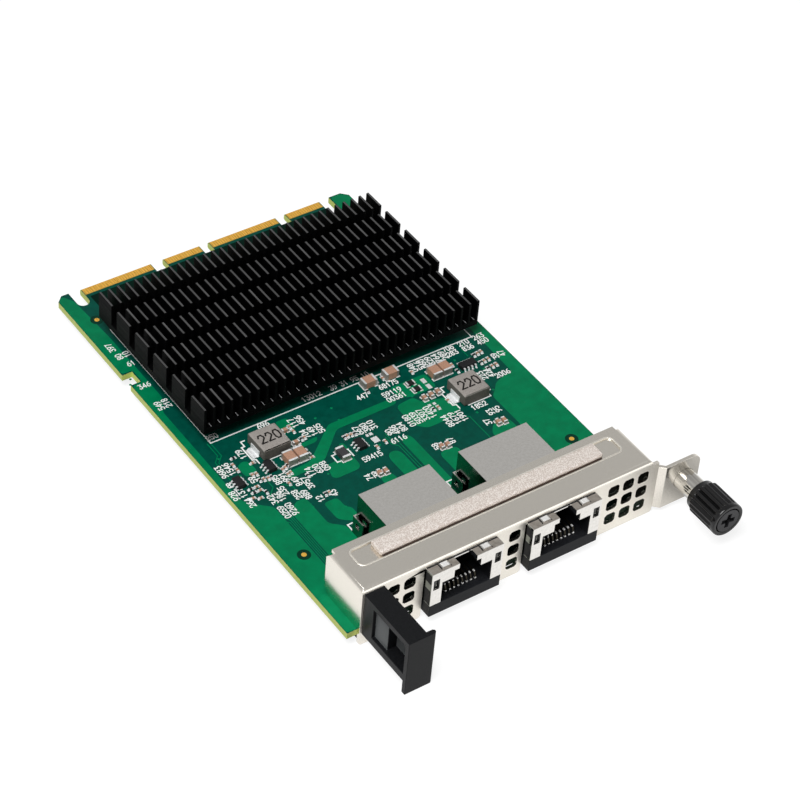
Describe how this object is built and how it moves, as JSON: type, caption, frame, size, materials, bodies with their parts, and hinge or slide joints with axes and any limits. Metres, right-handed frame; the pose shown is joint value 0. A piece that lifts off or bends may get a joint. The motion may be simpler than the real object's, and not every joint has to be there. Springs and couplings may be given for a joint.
{
  "type": "mezzanine network card",
  "caption": "Server mezzanine network card: circuit board with gold card edge, black finned heat sink, bent metal faceplate with shielded network jacks, pull tab and captive thumbscrew.",
  "frame": {"origin": "middle of the card edge, halfway through the board's thickness", "axes": "+Y the way the card is pushed in, +X right as seen from the faceplate, +Z the component side"},
  "size_m": [0.0855, 0.1316, 0.0161],
  "materials": {
    "board": "solder mask over glass epoxy",
    "gold": "gold plated",
    "black_anodised": "black anodised, fine satin",
    "black_epoxy": "moulded, matte",
    "silicone_pad": "soft, matte",
    "plated_steel": "nickel plated, satin",
    "conductive_fabric": "woven, silvery pink",
    "black_plastic": "moulded, fine texture",
    "nickel_sleeve": "bright nickel",
    "nylon": "moulded, natural",
    "black_oxide": "black oxide",
    "iron_powder": "pressed powder, matte",
    "tin": "tinned",
    "ceramic_brown": "fired ceramic",
    "grey_ferrite": "fired ferrite",
    "jack_plastic": "moulded, satin",
    "jack_shield": "nickel plated, satin",
    "clear_plastic": "clear moulded"
  },
  "bodies": {
    "card": {"circuit_board": "board", "edge_contacts_top": "gold", "edge_contacts_under": "gold", "heat_sink": "black_anodised", "controller_chip": "black_epoxy", "thermal_pad": "silicone_pad", "faceplate": "plated_steel", "gasket_strip": "conductive_fabric", "pull_tab": "black_plastic", "screw_sleeve": "nickel_sleeve", "left_inductor": "iron_powder", "right_inductor": "iron_powder", "left_inductor_terminals": "tin", "right_inductor_terminals": "tin", "large_capacitors": "ceramic_brown", "small_capacitors": "ceramic_brown", "large_capacitors_end_caps": "tin", "small_capacitors_end_caps": "tin", "chip_resistors": "black_epoxy", "chip_resistors_end_caps": "tin", "chip_bead": "grey_ferrite", "chip_bead_end_caps": "tin", "small_chips": "black_epoxy", "left_jack_housing": "jack_plastic", "left_jack_shield": "jack_shield", "left_jack_contacts": "gold", "left_jack_light_pipes": "clear_plastic", "left_jack_magnetics": "black_epoxy", "right_jack_housing": "jack_plastic", "right_jack_shield": "jack_shield", "right_jack_contacts": "gold", "right_jack_light_pipes": "clear_plastic", "right_jack_magnetics": "black_epoxy"},
    "screw_carrier": {"retaining_washer": "nylon"},
    "thumbscrew_turning": {"thumbscrew": "black_oxide", "thumbscrew_knob": "black_plastic"}
  },
  "joints": [
    {"name": "thumbscrew_slide", "type": "slide", "parent": "card", "child": "screw_carrier", "axis": [0, 1, 0], "range_m": [0, 0.0048]},
    {"name": "thumbscrew_turn", "type": "hinge", "parent": "screw_carrier", "child": "thumbscrew_turning", "pos_m": [0.0436, -0.11436, 0.00428], "axis": [0, 1, 0], "continuous": true}
  ]
}
